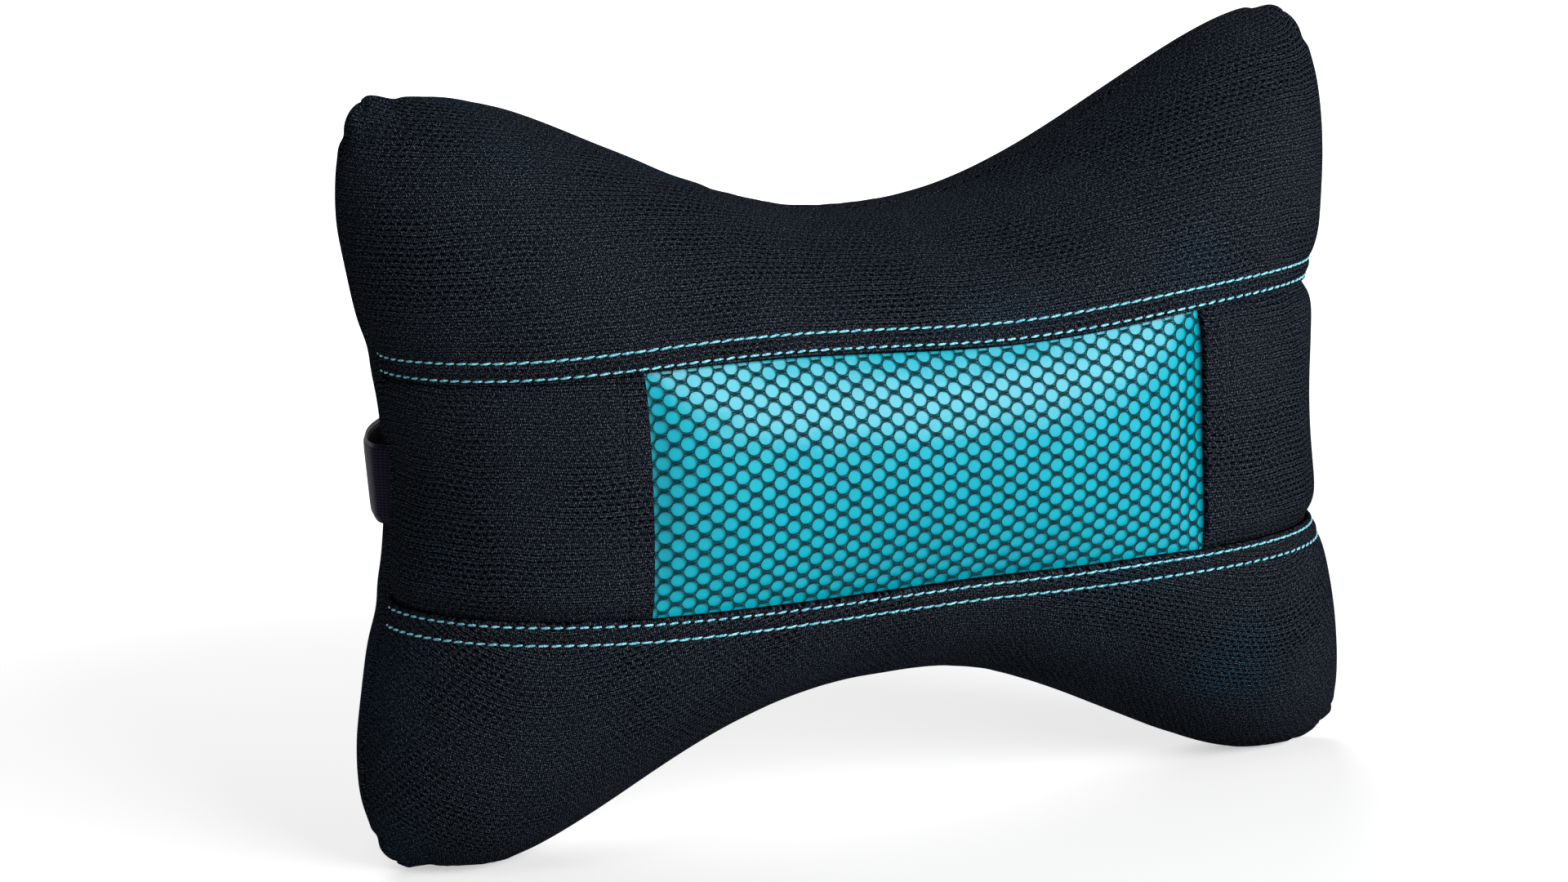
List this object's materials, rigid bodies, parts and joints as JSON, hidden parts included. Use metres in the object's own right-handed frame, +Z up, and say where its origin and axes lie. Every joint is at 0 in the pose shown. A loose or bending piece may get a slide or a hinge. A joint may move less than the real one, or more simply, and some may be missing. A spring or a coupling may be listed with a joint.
{
  "type": "car neck pillow",
  "caption": "Bone-shaped stuffed headrest pillow: black air-mesh cover, turquoise insert under black net, turquoise topstitching, elastic strap behind.",
  "frame": {"origin": "on the floor, under the middle of the pillow's box, strap included", "axes": "+X across the pillow, from its left side as seen from the front to its right, +Y from the netted front to the strap at the back, +Z up"},
  "size_m": [0.271, 0.1274, 0.1949],
  "materials": {
    "black_air_mesh": "knitted spacer mesh, soft sheen",
    "turquoise_sheet": "smooth, faint crinkle",
    "black_net": "open knotted net",
    "turquoise_thread": "twisted polyester thread",
    "black_thread": "twisted polyester thread",
    "black_elastic": "fine-ribbed woven elastic",
    "polyester_fibre": "loose white fibre"
  },
  "bodies": {
    "root": {"back_panel": "black_air_mesh", "upper_front_panel": "black_air_mesh", "lower_front_panel": "black_air_mesh", "left_side_panel": "black_air_mesh", "right_side_panel": "black_air_mesh", "insert_sheet": "turquoise_sheet", "insert_net": "black_net", "topstitch_upper_outer": "turquoise_thread", "topstitch_upper_inner": "turquoise_thread", "topstitch_lower_inner": "turquoise_thread", "topstitch_lower_outer": "turquoise_thread", "insert_stitch_left": "black_thread", "insert_stitch_right": "black_thread", "headrest_strap": "black_elastic", "filling": "polyester_fibre"}
  },
  "joints": []
}
